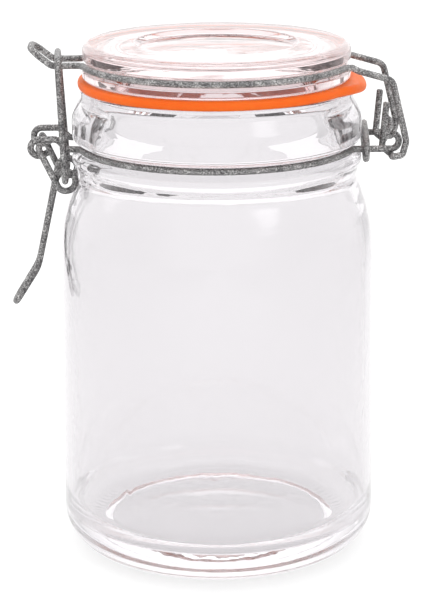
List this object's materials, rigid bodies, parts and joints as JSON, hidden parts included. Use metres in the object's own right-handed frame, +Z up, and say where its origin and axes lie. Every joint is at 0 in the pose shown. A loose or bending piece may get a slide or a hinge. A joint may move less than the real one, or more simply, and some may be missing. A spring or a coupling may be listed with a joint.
{
  "type": "clamp-top glass storage jar",
  "caption": "Clear glass storage jar with a hinged glass lid, an orange rubber gasket and a bent-wire clamp latch.",
  "frame": {"origin": "centre of the foot, on the plane that the jar stands on", "axes": "+Z up along the jar's axis, -X towards the latch, +X towards the hinge"},
  "size_m": [0.1304, 0.1054, 0.1709],
  "materials": {
    "jar_glass": "clear pressed soda-lime glass, polished, faint grey-green at the edges",
    "lid_glass": "clear pressed glass, polished",
    "gasket_rubber": "smooth orange rubber, satin",
    "wire_steel": "galvanised wire, mottled matt grey"
  },
  "bodies": {
    "root": {"jar": "jar_glass", "neck_wire_front": "wire_steel", "neck_wire_back": "wire_steel", "clamp_ring": "wire_steel"},
    "lid": {"lid": "lid_glass", "gasket": "gasket_rubber", "lid_wire": "wire_steel"},
    "lever": {"lever": "wire_steel"},
    "bail": {"bail": "wire_steel"}
  },
  "joints": [
    {"name": "lid_hinge", "type": "hinge", "parent": "root", "child": "lid", "pos_m": [0.0564, 0, 0.13525], "axis": [0, 1, 0], "range_deg": [0, 190]},
    {"name": "lever_pivot", "type": "hinge", "parent": "root", "child": "lever", "pos_m": [-0.058, 0, 0.1381], "axis": [0, 1, 0], "range_deg": [0, 150], "deforming": ["bail"]},
    {"name": "bail_pivot", "type": "hinge", "parent": "lever", "child": "bail", "pos_m": [-0.0496, 0, 0.1276], "axis": [0, 1, 0], "range_deg": [-175, 0]}
  ],
  "couplings": [
    {"joint": "bail_pivot", "follows": "lever_pivot", "ratio": -1.15}
  ]
}
